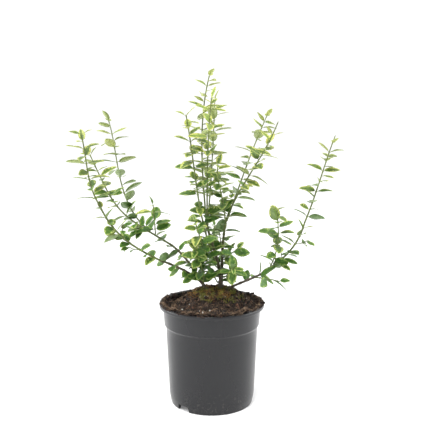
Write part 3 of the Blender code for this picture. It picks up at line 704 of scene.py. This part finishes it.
def makeMoss():
    draw = random.Random(moss["seed"])
    for name, kind in mossKinds.items():
        tufts = Parts()
        for _ in range(round(moss["count"] * kind["share"])):
            away = moss["reach"] * math.sqrt(draw.random())
            turn = draw.uniform(0, math.tau)
            x = kind["x"] + away * math.cos(turn) * moss["stretch"]
            y = kind["y"] + away * math.sin(turn)
            if lumps(Vector((x, y, 0)), moss["patch"], kind["patchSeed"]) < moss["bare"]:
                continue
            root = Vector((x, y, lumpySoil(x, y) - moss["sunk"])) * mm
            lean = Vector((draw.uniform(-1, 1), draw.uniform(-1, 1), draw.uniform(*moss["upward"])))
            lean.normalize()
            length = moss["tallest"] * draw.uniform(*moss["shares"]) * mm
            droop = Vector((lean.x, lean.y, moss["fall"])) * length * moss["droop"]
            bend = root + lean * length * moss["bendAt"]
            path = [root, bend, root + lean * length * moss["tipAt"] + droop]
            tufts.add(*strand(path, moss["thickness"] * draw.uniform(*moss["thicknesses"]) * mm))
        finishPiece(tufts.made(name, [finishes[kind["finish"]]]), "peat")


# Stems: each follows one smooth curve and tapers along it

class Stem:
    steps = 96

    def __init__(self, start, leave, arrive, tip, thick, thin, flare=0.0):
        self.controls = (start, start + leave, tip - arrive, tip)
        self.thick, self.thin, self.flare = thick, thin, flare
        points = [self.onCurve(k / self.steps) for k in range(self.steps + 1)]
        self.reached = [0.0]
        for low, high in zip(points, points[1:]):
            self.reached.append(self.reached[-1] + (high - low).length)
        self.length = self.reached[-1]

    def onCurve(self, t):
        a, b, c, d = self.controls
        return a * (1 - t) ** 3 + b * 3 * t * (1 - t) ** 2 + c * 3 * t * t * (1 - t) + d * t**3

    def at(self, distance):
        step = min(max(bisect_right(self.reached, distance) - 1, 0), self.steps - 1)
        span = self.reached[step + 1] - self.reached[step]
        t = (step + (distance - self.reached[step]) / span) / self.steps
        a, b, c, d = self.controls
        ahead = (b - a) * (1 - t) ** 2 + (c - b) * 2 * t * (1 - t) + (d - c) * t * t
        return self.onCurve(t), ahead.normalized()

    def radius(self, distance):
        share = distance / self.length
        swell = 1 + self.flare * math.exp(-distance / (2 * self.thick))
        return (self.thick + (self.thin - self.thick) * share) * swell


def skin(rings, point=None):
    sides = len(rings[0])
    points = [corner for ring in rings for corner in ring]
    faces = [tuple(reversed(range(sides)))]
    for low in range(0, len(points) - sides, sides):
        for k in range(sides):
            after = (k + 1) % sides
            faces.append((low + k, low + after, low + sides + after, low + sides + k))
    last = len(points) - sides
    if point is None:
        faces.append(tuple(range(last, last + sides)))
    else:
        points.append(point)
        faces += [(last + k, last + (k + 1) % sides, last + sides) for k in range(sides)]
    return points, faces


def plainTube(stem, count, sides):
    # The stem as it is in the solids, which the leaves keep clear of.
    rings = []
    side = Vector((1, 0, 0))
    turns = [math.tau * s / sides for s in range(sides)]
    for k in range(count + 1):
        distance = stem.length * k / count
        point, ahead = stem.at(distance)
        side = (side - ahead * side.dot(ahead)).normalized()
        back = ahead.cross(side)
        radius = stem.radius(distance)
        rings.append([point + (side * math.cos(a) + back * math.sin(a)) * radius for a in turns])
    return skin(rings)


knobs = dict(swell=0.32, reach=1.3, most=1.2, ribs=2.2, ribLength=3.5, budNeck=0.7, budLength=1.6)
limbBark = dict(sides=16, spacing=0.8, relief=0.12, bud=False, sunk=2.5, scars=10.0, flare=0.45)
twigBark = dict(sides=8, spacing=1.1, relief=0.06, bud=True, sunk=0.6)


def fineTube(stem, joints, look, before):
    # A knobbly tube: it swells at each pair of leaves, and its bark is ribbed along its length.
    # It begins the given distance before the stem and ends in a bud or in a flat end.
    sides, whole = look["sides"], stem.length + before
    count = max(4, round(whole / (look["spacing"] * mm)))
    rings = []
    side = Vector((1, 0, 0))
    for k in range(count + 1):
        distance = -before + whole * k / count
        point, ahead = stem.at(max(distance, 0))
        if distance < 0:
            point = point + ahead * distance
        if k == 0 and not look["bud"]:
            ahead = Vector((0, 0, 1))
        side = (side - ahead * side.dot(ahead)).normalized()
        back = ahead.cross(side)
        knob = sum(math.exp(-((distance - joint) / (knobs["reach"] * mm)) ** 2) for joint in joints)
        radius = stem.radius(max(distance, 0)) * (1 + knobs["swell"] * min(knob, knobs["most"]))
        if look["bud"] and k == count:
            radius *= knobs["budNeck"]
        ring = []
        for s in range(sides):
            turn = math.tau * s / sides
            way = side * math.cos(turn) + back * math.sin(turn)
            ribs = noise.noise(way * knobs["ribs"] + ahead * distance / (knobs["ribLength"] * mm))
            ring.append(point + way * radius * (1 + ribs * look["relief"]))
        rings.append(ring)
    if look["bud"]:
        point, ahead = stem.at(stem.length)
        return skin(rings, point + ahead * knobs["budLength"] * mm)
    return skin(rings)


def makeLimbs():
    stems = {}
    scars = limbBark["scars"] * mm
    for name, size in limbs.items():
        x, y = size["foot"]
        foot = Vector((x * mm, y * mm, soil["moundTop"] * mm + gap))
        stem = Stem(foot, toMetres(size["leave"]), toMetres(size["arrive"]), toMetres(size["tip"]),
                    size["thick"] * mm / 2, size["thin"] * mm / 2, limbBark["flare"])
        joints = [scars * (k + 1) for k in range(int(stem.length / scars))]
        solid = fineTube(stem, joints, limbBark, limbBark["sunk"] * mm)
        finishPiece(addPiece(name + "_bark", *solid, [finishes["bark"]]), "bark", name)
        stems[name] = stem
    return stems


def makeShootStem(size, parent):
    leave = toMetres(size["leave"])
    thick, thin = size["thick"] * mm / 2, size["thin"] * mm / 2
    point, ahead = parent.at(parent.length * size["at"])
    radius = parent.radius(parent.length * size["at"])
    if size["at"] == 1:
        lean = ahead.cross(leave.normalized()).length
        start = point + ahead * (gap + max(radius, thick) * lean)
    else:
        outward = (leave - ahead * leave.dot(ahead)).normalized()
        start = point + outward * (radius + thick + gap)
    return Stem(start, leave, toMetres(size["arrive"]), toMetres(size["tip"]), thick, thin)


# Where leaves grow. A planned leaf is its stem, the distance along it, the way round it,
# the spread from it, its roll, length and curl, and its share of the way to the tip.

growth = dict(
    stalk=0.5, root=0.15, keel=0.55, keelFall=0.5, slimness=0.57, blade=((0.38, 1.0), (0.72, 0.78)),
    first=8.0, easing=0.85, youngFrom=0.7, youngSpan=0.3, youngShrink=0.45, youngSpread=28,
    spread=(54.0, 78.0), jitter=14.0, roll=24.0, sizes=(0.86, 1.12), curl=(0.05, 0.2),
    levelling=0.6, upward=0.8, forward=0.35, room=0.5, stalkFree=2.6,
    turns=(0, 22, -22, 45, -45), lifts=(0, 16, -16), shrinks=(1.0, 0.8))
twigGrowth = dict(
    length=15.0, radius=0.55, taper=0.8, spread=55, rise=0.6, leafSpread=62, leafSize=0.62,
    leaves=((0.55, 1), (0.55, -1), (0.96, 1), (0.96, -1)), crossing=1.5)
crowding = dict(widest=12.0, chance=0.62, sway=0.4, sizes=(0.7, 1.0), youngShrink=0.35, turn=45, seed=900)
sparse = {"right_low_leaves": dict(every=2, larger=1.2)}
stemLeaves = {
    "main_stem": dict(begin=0.12, spacing=10, leaf=17, chance=0.75, seed=40),
    "right_stem": dict(begin=0.15, spacing=10, leaf=17, chance=0.75, seed=41),
    "left_low_stem": dict(begin=0.35, spacing=10, leaf=18, chance=0.6, seed=42),
    "left_high_stem": dict(begin=0.30, spacing=9, leaf=19, chance=0.9, seed=43),
    "right_low_stem": dict(begin=0.45, spacing=10, leaf=18, chance=0.8, seed=44),
}
stemLeafRule = dict(sway=0.5, sizes=(0.75, 1.1), clear=3.0, share=0.3)


def leafFrame(stem, distance, turn, spread, roll):
    point, ahead = stem.at(distance)
    right = Vector((1, 0, 0))
    right = (right - ahead * right.dot(ahead)).normalized()
    outward = right * math.cos(turn) + ahead.cross(right) * math.sin(turn)
    axis = ahead * math.cos(spread) + outward * math.sin(spread)
    axis.z *= growth["levelling"]
    axis.normalize()
    face = Vector((0, 0, growth["upward"])) + ahead * growth["forward"]
    face = (face - axis * face.dot(axis)).normalized()
    return point, axis, Matrix.Rotation(roll, 3, axis) @ face


def plainLeaf(place, length, curl, room, begin=0.0):
    # The leaf as it is in the solids, larger all round by the room that it needs.
    point, axis, face = place
    across = face.cross(axis)
    rows = [(begin or growth["root"] * mm, growth["stalk"] * mm)]
    rows += [(share * length, growth["slimness"] * length / 2 * part) for share, part in growth["blade"]]
    rings = []
    for distance, half in rows:
        middle = point + axis * distance - face * (curl * distance**2 / length)
        keel = growth["keel"] * mm * (1 - growth["keelFall"] * distance / length) + room
        rings.append([middle + across * (half + room) + face * room,
                      middle - across * (half + room) + face * room, middle - face * keel])
    end = length + room
    return skin(rings, point + axis * end - face * (curl * end**2 / length))


def youth(share):
    return max(0, (share - growth["youngFrom"]) / growth["youngSpan"])


def makeTwig(stem, distance, way):
    point, axis, _ = leafFrame(stem, distance, way, math.radians(twigGrowth["spread"]), 0)
    rise = (axis + Vector((0, 0, twigGrowth["rise"]))).normalized()
    length, radius = twigGrowth["length"] * mm, twigGrowth["radius"] * mm
    return Stem(point, axis * length / 3, rise * length / 3, point + (axis + rise) * length / 2,
                radius, radius * twigGrowth["taper"])


def planTwig(twig, way, roll, length, curl, share):
    leaves = []
    for part, sideways in twigGrowth["leaves"]:
        turned = way + sideways * math.pi / 2 * (twigGrowth["crossing"] - part)
        leaves.append((twig, twig.length * part, turned, math.radians(twigGrowth["leafSpread"]), roll,
                       length * twigGrowth["leafSize"], curl, share))
    return leaves


def planShoot(stem, size):
    # The source's own rule, draw by draw, so that the leaves stand where the solids have them.
    draw = random.Random(size["seed"])
    first = growth["first"] * mm
    last = stem.length - size.get("bare", 1) * mm
    stems = [(stem, 3, size["pairs"] + 2)]
    leaves = []
    twigSteps = {1 + 2 * k for k in range(size["twigs"])}
    for step in range(size["pairs"]):
        share = (step / (size["pairs"] - 1)) ** growth["easing"]
        distance = first + (last - first) * share
        young = youth(share)
        length = size["leaf"] * mm * (1 - growth["youngShrink"] * young * young)
        turn = math.radians(size["turn"] + 90 * step)
        for halfTurn in (0, math.pi):
            way = turn + halfTurn + math.radians(draw.uniform(-growth["jitter"], growth["jitter"]))
            spread = math.radians(draw.uniform(*growth["spread"]) - growth["youngSpread"] * young)
            roll = math.radians(draw.uniform(-growth["roll"], growth["roll"]))
            scale = draw.uniform(*growth["sizes"])
            curl = draw.uniform(*growth["curl"])
            if halfTurn == 0 and step in twigSteps:
                twig = makeTwig(stem, distance, way)
                stems.append((twig, 3, 3))
                leaves += planTwig(twig, way, roll, length, curl, share)
            else:
                leaves.append((stem, distance, way, spread, roll, length * scale, curl, share))
    return stems, leaves


def freeLeaf(draw, stem, distance, way, length, sway, share):
    return (stem, distance, way, math.radians(draw.uniform(*growth["spread"])),
            draw.uniform(-sway, sway), length, draw.uniform(*growth["curl"]), share)


def planBetween(stem, size, leaves):
    # Pairs between the source's pairs, where those stand further apart than on the plant.
    draw = random.Random(size["seed"] + crowding["seed"])
    sway = crowding["sway"]
    joints = leafJoints(stem, leaves)
    more = []
    for k, (low, high) in enumerate(zip(joints, joints[1:])):
        if high - low < crowding["widest"] * mm:
            continue
        middle = (low + high) / 2
        share = middle / stem.length
        largest = size["leaf"] * mm * (1 - crowding["youngShrink"] * youth(share))
        turn = math.radians(size["turn"] + 90 * k + crowding["turn"])
        for halfTurn in (0, math.pi):
            way = turn + halfTurn + draw.uniform(-sway, sway)
            length = largest * draw.uniform(*crowding["sizes"])
            if draw.random() < crowding["chance"]:
                more.append(freeLeaf(draw, stem, middle, way, length, sway, share))
    return more


def planStemLeaves(stem, size):
    draw = random.Random(size["seed"])
    sway = stemLeafRule["sway"]
    leaves = []
    distance = stem.length * size["begin"]
    step = 0
    while distance < stem.length - stemLeafRule["clear"] * mm:
        for halfTurn in (0, math.pi):
            way = math.radians(90 * step) + halfTurn + draw.uniform(-sway, sway)
            length = size["leaf"] * mm * draw.uniform(*stemLeafRule["sizes"])
            if draw.random() < size["chance"]:
                leaves.append(freeLeaf(draw, stem, distance, way, length, sway, stemLeafRule["share"]))
        distance += size["spacing"] * mm
        step += 1
    return leaves


def leafJoints(stem, leaves):
    return sorted({leaf[1] for leaf in leaves if leaf[0] is stem})


class Room:
    # What already stands in the crown, for finding where a leaf has room.
    def __init__(self):
        self.taken = []

    def measured(self, points, faces):
        middle = sum(points, Vector()) / len(points)
        return BVHTree.FromPolygons(points, faces), middle, max((p - middle).length for p in points)

    def add(self, owner, points, faces):
        self.taken.append((owner, *self.measured(points, faces)))

    def free(self, points, faces, butFor=None):
        tree, middle, reach = self.measured(points, faces)
        for owner, other, centre, otherReach in self.taken:
            near = (centre - middle).length < reach + otherReach
            if near and owner != butFor and tree.overlap(other):
                return False
        return True


def placeLeaf(room, owner, leaf):
    # The first of a few turns and sizes that touches nothing but the leaf's own twig.
    stem, distance, way, spread, roll, length, curl, share = leaf
    margin = growth["room"] * mm
    for shrink in growth["shrinks"]:
        for turn in growth["turns"]:
            for lift in growth["lifts"]:
                turned, raised = way + math.radians(turn), spread + math.radians(lift)
                place = leafFrame(stem, distance, turned, raised, roll)
                blade = plainLeaf(place, length * shrink, curl, margin, growth["stalkFree"] * mm)
                whole = plainLeaf(place, length * shrink, curl, margin)
                if room.free(*blade) and room.free(*whole, butFor=owner):
                    room.add(owner, *blade)
                    return place, length * shrink, curl, share
    return None


def placeLeaves(room, owner, leaves):
    return [placed for placed in (placeLeaf(room, owner, leaf) for leaf in leaves) if placed]


# How leaves look. Each has its own toothed outline, a fold at the midrib, a green
# middle with an uneven edge, a cream margin and a paler back.

leafLook = dict(
    rows=13, columns=4, larger=1.14, topGrowth=3.2, longest=26.0, slimness=0.58, narrowing=0.2,
    lowest=0.18, rise=0.17, lowRoll=34.0, highRoll=14.0, widths=(0.88, 1.1), curls=(0.8, 1.8),
    fold=(0.10, 0.42), flatter=0.25, stalk=2.0, stalkHalf=0.35, tipHalf=0.06, fullest=0.8, fullness=0.62,
    teeth=0.028, wave=0.35, waves=7, shift=2, midrib=0.32,
    middle=(0.48, 0.86), middleTaper=0.45, ragged=0.2, greenEnd=0.93)
leafStalk = dict(sides=5, lower=0.1, shares=(0.6, 1.25), radii=(0.42, 0.34, 0.26))
toneRule = dict(lowest=0.19, rise=0.16, tip=0.55, tipFrom=0.45, sway=0.32, limits=(0.15, 0.55, 1.15))


def drawLeaf(place, length, curl, draw):
    # One leaf's own shape. Height runs from 0 at the low leaves to 1 at the top ones.
    look = leafLook
    point, axis, face = place
    height = min(max((point.z - look["lowest"]) / look["rise"], 0), 1)
    roll = draw.uniform(-1, 1) * (look["lowRoll"] + (look["highRoll"] - look["lowRoll"]) * height)
    face = Matrix.Rotation(math.radians(roll), 3, axis) @ face
    length = min(length * look["larger"] + look["topGrowth"] * mm * height, look["longest"] * mm)
    widest = look["slimness"] * (1 - look["narrowing"] * height) * length / 2
    return dict(place=(point, axis, face), length=length, half=widest * draw.uniform(*look["widths"]),
                fold=draw.uniform(*look["fold"]), phase=draw.uniform(0, math.tau),
                middle=draw.uniform(*look["middle"]), curl=curl * draw.uniform(*look["curls"]))


def leafPoint(leaf, distance, x, z):
    point, axis, face = leaf["place"]
    drop = leaf["curl"] * distance**2 / leaf["length"]
    return point + axis * distance + face.cross(axis) * x + face * (z - drop)


def bladePoints(leaf):
    # Rows from the stalk to the tip, each ending with the point of the midrib under it.
    look = leafLook
    rows, columns, stalk = look["rows"], look["columns"], look["stalk"] * mm
    points = []
    for i in range(rows + 1):
        t = i / rows
        distance = stalk + (leaf["length"] - stalk) * t
        half = 0
        if 0 < i < rows:
            half = leaf["half"] * math.sin(math.pi * t ** look["fullest"]) ** look["fullness"]
        if 1 < i < rows:
            half *= 1 + look["teeth"] * (1 if i % 2 else -1)
        half = max(half, (look["stalkHalf"] if i < rows else look["tipHalf"]) * mm)
        for j in range(-columns, columns + 1):
            v = j / columns
            phase = leaf["phase"] + look["waves"] * t + (look["shift"] if j > 0 else 0)
            wave = look["wave"] * mm * v * v * math.sin(phase) * (half / leaf["half"])
            rise = leaf["fold"] * abs(v) * half - look["flatter"] * leaf["fold"] * v * v * half
            points.append(leafPoint(leaf, distance, half * v, rise + wave))
        points.append(leafPoint(leaf, distance, 0, -look["midrib"] * mm))
    return points


def bladeFaces(leaf, tone, draw):
    look = leafLook
    rows, columns = look["rows"], look["columns"]
    perRow = 2 * columns + 2
    faces, indices = [], []
    for i in range(rows):
        t = (i + 0.5) / rows
        low, high = i * perRow, (i + 1) * perRow
        middle = leaf["middle"] * (1 - look["middleTaper"] * t**3)
        edges = [middle + draw.uniform(-look["ragged"], look["ragged"]) for _ in range(2)]
        for j in range(2 * columns):
            v = (j + 0.5) / columns - 1
            faces.append((low + j + 1, low + j, high + j, high + j + 1))
            inside = abs(v) < edges[v > 0] and t < look["greenEnd"]
            indices.append(tone + (0 if inside else 1))
        back, backHigh = low + perRow - 1, high + perRow - 1
        faces += [(low, back, backHigh, high), (back, low + 2 * columns, high + 2 * columns, backHigh)]
        indices += [tone + 2] * 2
    faces += [tuple(range(perRow)), tuple(reversed(range(rows * perRow, (rows + 1) * perRow)))]
    indices += [tone + 2] * 2
    return faces, indices


def stalkSolid(leaf):
    # A short round stub from inside the twig to the blade.
    _, axis, face = leaf["place"]
    across = face.cross(axis)
    stalk = leafLook["stalk"] * mm
    distances = [growth["root"] * mm] + [stalk * share for share in leafStalk["shares"]]
    turns = [math.tau * k / leafStalk["sides"] for k in range(leafStalk["sides"])]
    rings = []
    for distance, radius in zip(distances, leafStalk["radii"]):
        middle = leafPoint(leaf, distance, 0, -leafStalk["lower"] * mm)
        size = radius * mm
        rings.append([middle + across * math.cos(a) * size + face * math.sin(a) * size for a in turns])
    return skin(rings)


def pickTone(height, share, draw):
    # The first material of the tone: leaves are fresher the higher and the nearer a tip they are.
    fresh = (height - toneRule["lowest"]) / toneRule["rise"]
    fresh += toneRule["tip"] * max(0, share - toneRule["tipFrom"])
    fresh += draw.uniform(-toneRule["sway"], toneRule["sway"])
    return bisect_right(toneRule["limits"], fresh) * len(leafParts)


def makeBlades(name, placed, seed, *nodes):
    draw = random.Random(seed)
    blades = Parts()
    for place, length, curl, share in placed:
        tone = pickTone(place[0].z, share, draw)
        leaf = drawLeaf(place, length, curl, draw)
        blades.add(bladePoints(leaf), *bladeFaces(leaf, tone, draw))
        points, faces = stalkSolid(leaf)
        blades.add(points, faces, [tone + 2] * len(faces))
    finishPiece(blades.made(name, leafFinishes), "leaves", *nodes)


def takenRoom():
    room = Room()
    for name in ("pot", "soil", *limbs):
        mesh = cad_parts[name].data
        room.add(name, [v.co.copy() for v in mesh.vertices], [list(p.vertices) for p in mesh.polygons])
    return room


bladeSeeds = dict(stems=77, shoots=500)


def makeShoots(stems):
    room = takenRoom()
    plans = {}
    for name, size in shoots.items():
        stems[name] = makeShootStem(size, stems[size["on"]])
        plans[name] = planShoot(stems[name], size)
    for name, (twigs, _) in plans.items():
        for stem, sides, count in twigs:
            room.add(name, *plainTube(stem, count, sides))
    placed = {name: placeLeaves(room, name, leaves) for name, (_, leaves) in plans.items()}
    for name, rule in sparse.items():
        placed[name] = [(place, length * rule["larger"], curl, share)
                        for place, length, curl, share in placed[name][::rule["every"]]]
    for name, (_, leaves) in plans.items():
        if name not in sparse:
            placed[name] += placeLeaves(room, name, planBetween(stems[name], shoots[name], leaves))
    onStems = []
    for name, size in stemLeaves.items():
        onStems += placeLeaves(room, name, planStemLeaves(stems[name], size))
    makeBlades("stem_blades", onStems, bladeSeeds["stems"])
    green = Parts()
    for name, (twigs, leaves) in plans.items():
        makeBlades(name + "_blades", placed[name], shoots[name]["seed"] + bladeSeeds["shoots"], name)
        for stem, _, _ in twigs:
            before = twigBark["sunk"] * mm if stem is stems[name] else 0.0
            green.add(*fineTube(stem, leafJoints(stem, leaves), twigBark, before))
    finishPiece(green.made("green_twigs", [finishes["shoot"]]), "leaves")


# Floor, light and camera

studio = dict(
    floor=(0.9, 0.9, 0.9), floorHalf=6.0, matt=0.9, glow=0.16,
    world=1.12, front=0.3, frontSpan=(-0.95, -0.15),
    aim=(0, 0, 0.2), camera=(0.0021, -0.957, 0.4075), tilt=80.0, lens=67.4, sensor=36.0)
studioLights = {
    "left_light": dict(at=(-1.4, 0.1, 0.5), size=1.0, power=16.0),
    "right_light": dict(at=(1.4, 0.1, 0.5), size=0.9, power=14.0),
    "top_light": dict(at=(-0.3, -0.8, 1.7), size=0.7, power=22.0),
}


def makeFloor():
    white, _, shader, _ = newFinish("studio_white", studio["matt"])
    shader["Base Color"].default_value = (*studio["floor"], 1)
    shader["Emission Color"].default_value = (1, 1, 1, 1)
    shader["Emission Strength"].default_value = studio["glow"]
    half = studio["floorHalf"]
    corners = [(-half, -half, 0), (half, -half, 0), (half, half, 0), (-half, half, 0)]
    addPiece("studio_floor", corners, [(0, 1, 2, 3)], [white])


def makeWorld():
    # White all round, and dimmer in front, so that the pot's front stays dark.
    world = bpy.data.worlds.new("studio_world")
    world.use_nodes = True
    tree = world.node_tree
    background = tree.nodes["Background"].inputs
    background["Color"].default_value = (1, 1, 1, 1)
    way = addNode(tree, "ShaderNodeTexCoord", {}).outputs["Generated"]
    dim = addSpan(tree, addAxis(tree, way, "Y"), *studio["frontSpan"], studio["front"], studio["world"])
    plug(tree, background["Strength"], dim)
    bpy.context.scene.world = world


def makeStudio():
    makeFloor()
    makeWorld()
    for name, light in studioLights.items():
        data = bpy.data.lights.new(name, "AREA")
        data.energy = light["power"]
        data.size = light["size"]
        lamp = addObject(name, data)
        lamp.location = light["at"]
        lamp.rotation_euler = (Vector(studio["aim"]) - lamp.location).to_track_quat("-Z", "Y").to_euler()
    data = bpy.data.cameras.new("photo_camera")
    data.lens = studio["lens"]
    data.sensor_width = studio["sensor"]
    camera = addObject("photo_camera", data)
    camera.location = studio["camera"]
    camera.rotation_euler = (math.radians(studio["tilt"]), 0, 0)
    bpy.context.scene.camera = camera
    bpy.context.scene.view_settings.view_transform = "Standard"
    print("studio ready")


makeStudio()
makePot()
mound = makeSoil()
lipGround = makeLipGround()
strewBits({"mound": mound, "lip": lipGround})
removeAll(lipGround)
makeFibres()
makeMoss()
makeShoots(makeLimbs())
